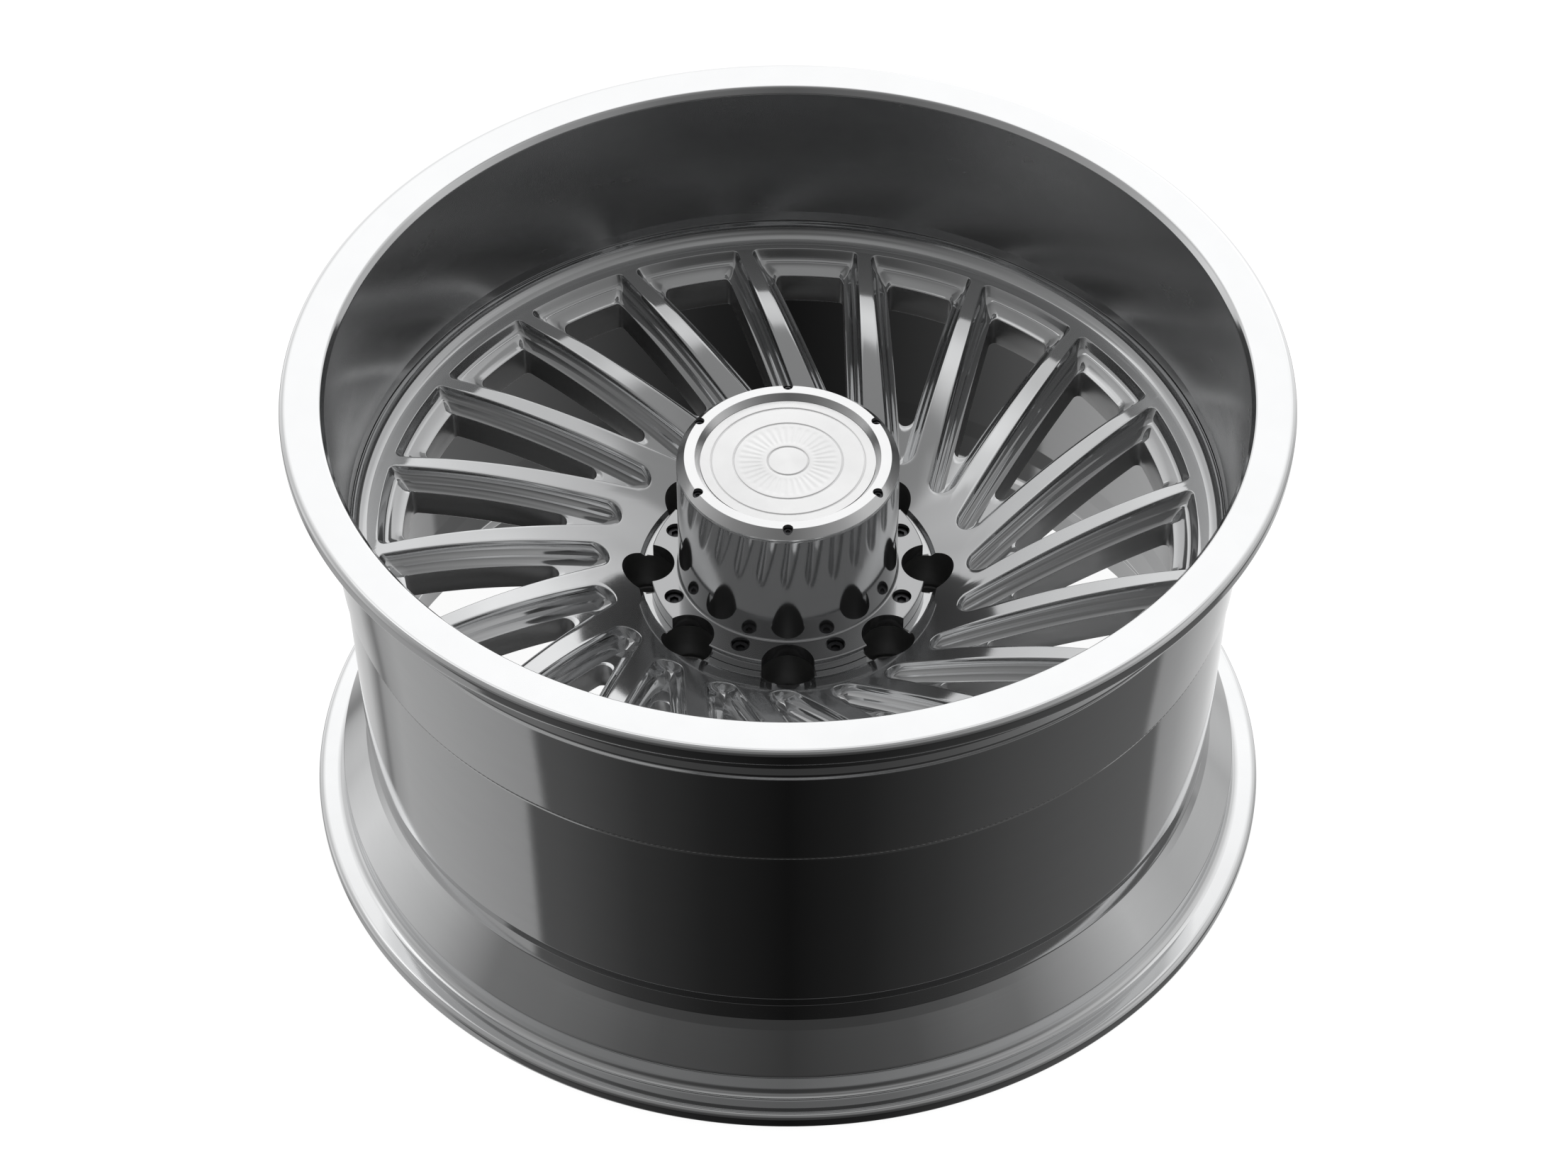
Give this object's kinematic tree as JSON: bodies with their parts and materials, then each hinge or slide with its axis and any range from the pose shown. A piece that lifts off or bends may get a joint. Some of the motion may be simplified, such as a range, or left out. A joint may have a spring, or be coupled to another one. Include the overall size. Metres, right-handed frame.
{
  "type": "forged multi-piece wheel rim",
  "caption": "Deep-dish forged wheel: welded rim halves, a slanted-spoke centre with stepped windows, a tall bolt-on hub cap and a clamp-in valve.",
  "frame": {"origin": "centre of the plane that the rear flange rests on, on the axle's axis", "axes": "+Z along the axle towards the road-side face; the valve is on the +Y side"},
  "size_m": [0.594, 0.594, 0.326],
  "materials": {
    "polished_rim": "mirror polished",
    "weld_bead": "dressed weld",
    "polished_centre": "polished over machining",
    "polished_sleeve": "mirror polished",
    "machined_lid": "fine turned",
    "brushed_emblem": "satin brushed",
    "black_oxide_screw": "black oxide",
    "nickel_valve": "nickel plated",
    "valve_rubber": "moulded",
    "valve_brass": "turned",
    "valve_cap_plastic": "moulded"
  },
  "bodies": {
    "wheel": {"front_rim_half": "polished_rim", "rear_rim_half": "polished_rim", "girth_weld": "weld_bead", "centre_weld": "weld_bead", "forged_centre": "polished_centre", "cap_sleeve": "polished_sleeve", "cap_lid": "machined_lid", "cap_emblem_disc": "brushed_emblem", "flange_screw_1": "black_oxide_screw", "flange_screw_2": "black_oxide_screw", "flange_screw_3": "black_oxide_screw", "flange_screw_4": "black_oxide_screw", "flange_screw_5": "black_oxide_screw", "flange_screw_6": "black_oxide_screw", "flange_screw_7": "black_oxide_screw", "flange_screw_8": "black_oxide_screw", "lid_screw_1": "black_oxide_screw", "lid_screw_2": "black_oxide_screw", "lid_screw_3": "black_oxide_screw", "lid_screw_4": "black_oxide_screw", "lid_screw_5": "black_oxide_screw", "lid_screw_6": "black_oxide_screw", "valve_stem": "nickel_valve", "valve_washer": "nickel_valve", "valve_nut": "nickel_valve", "valve_seal": "valve_rubber", "valve_core": "valve_brass"},
    "valve_cap": {"valve_cap": "valve_cap_plastic"},
    "valve_pin": {"valve_pin": "valve_brass"}
  },
  "joints": [
    {"name": "valve_cap_unscrew", "type": "slide", "parent": "wheel", "child": "valve_cap", "axis": [0, -1, 0], "range_m": [0, 0.02]},
    {"name": "valve_pin_press", "type": "slide", "parent": "wheel", "child": "valve_pin", "axis": [0, 1, 0], "range_m": [0, 0.0015], "stiffness_N_per_m": 800, "springref_m": -0.002}
  ]
}
